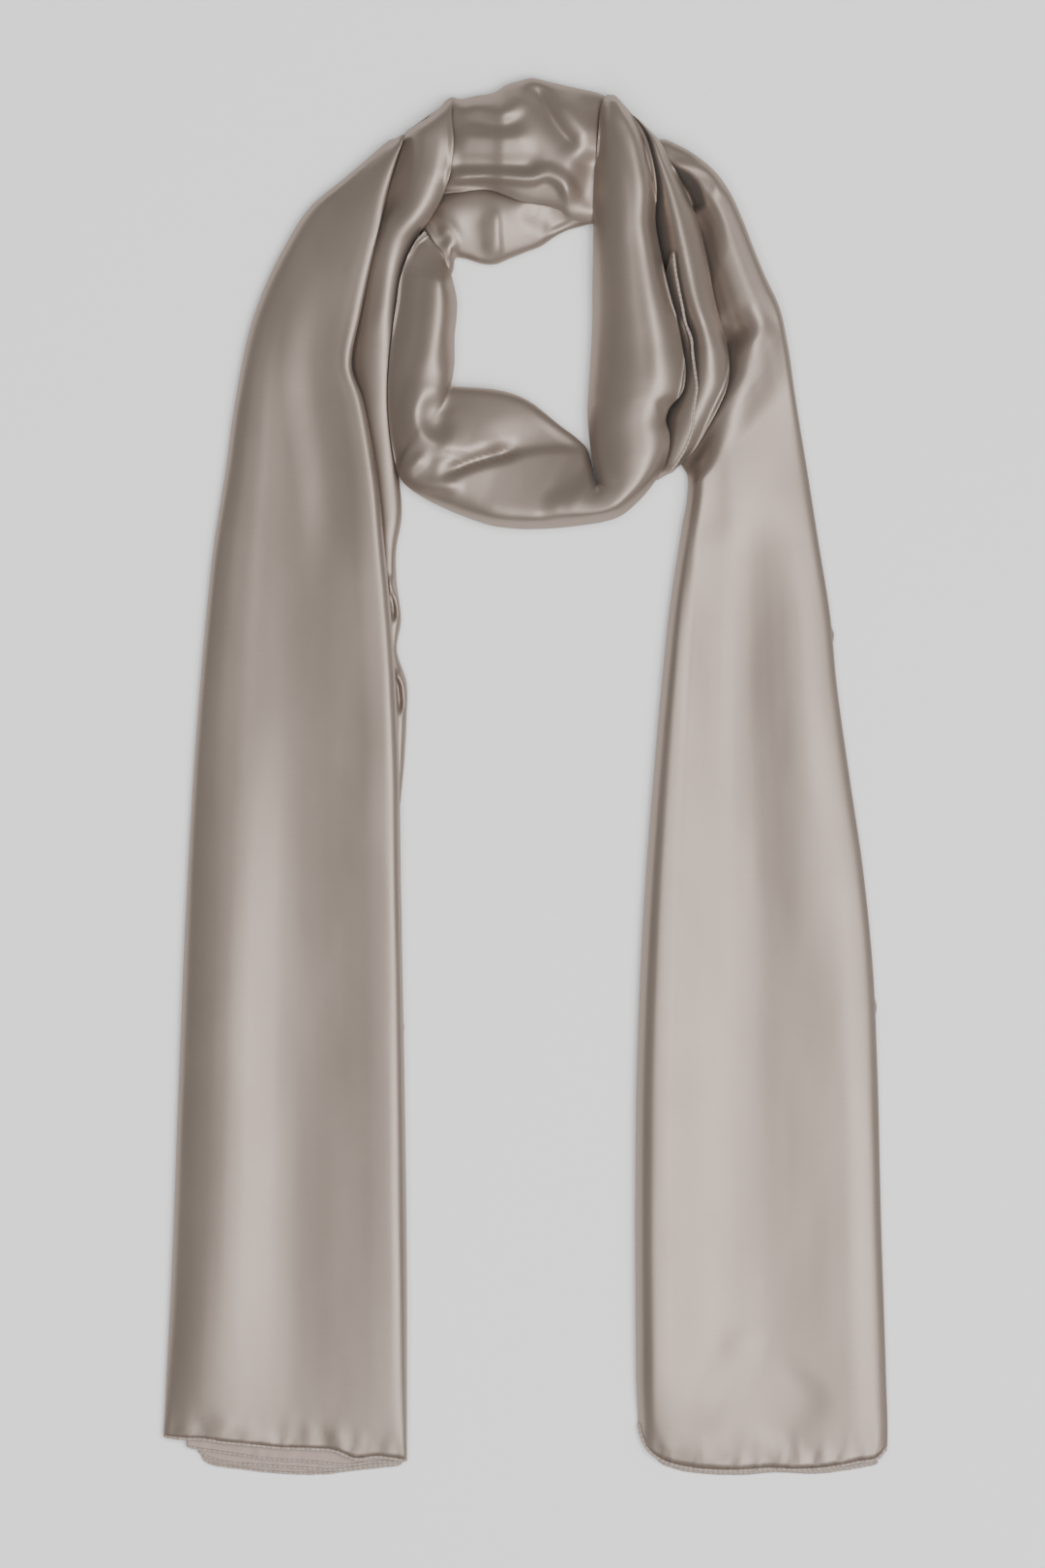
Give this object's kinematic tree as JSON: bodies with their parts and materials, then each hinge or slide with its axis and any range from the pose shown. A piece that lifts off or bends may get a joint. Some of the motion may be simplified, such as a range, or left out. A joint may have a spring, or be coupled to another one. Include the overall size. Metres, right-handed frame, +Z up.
{
  "type": "long satin scarf laid flat in one loop",
  "caption": "Long satin scarf folded lengthwise and laid flat as if worn, with one loop round the neck opening and two hanging ends.",
  "frame": {"origin": "on the supporting surface, in the middle of the laid scarf's width and length", "axes": "+Y along the two hanging ends towards the loop, +X to the right as seen from above, +Z up off the surface"},
  "size_m": [0.374, 0.7202, 0.0296],
  "materials": {
    "satin": "taupe polyester satin, fine weave with faint slubs across, soft broad gloss"
  },
  "bodies": {
    "root": {"tail_left": "satin", "tail_left_fold": "satin", "neck_band": "satin", "neck_inner_band": "satin", "loop_left": "satin", "loop_bottom": "satin", "loop_right": "satin", "loop_fold": "satin", "loop_hem": "satin", "tail_right": "satin"}
  },
  "joints": []
}
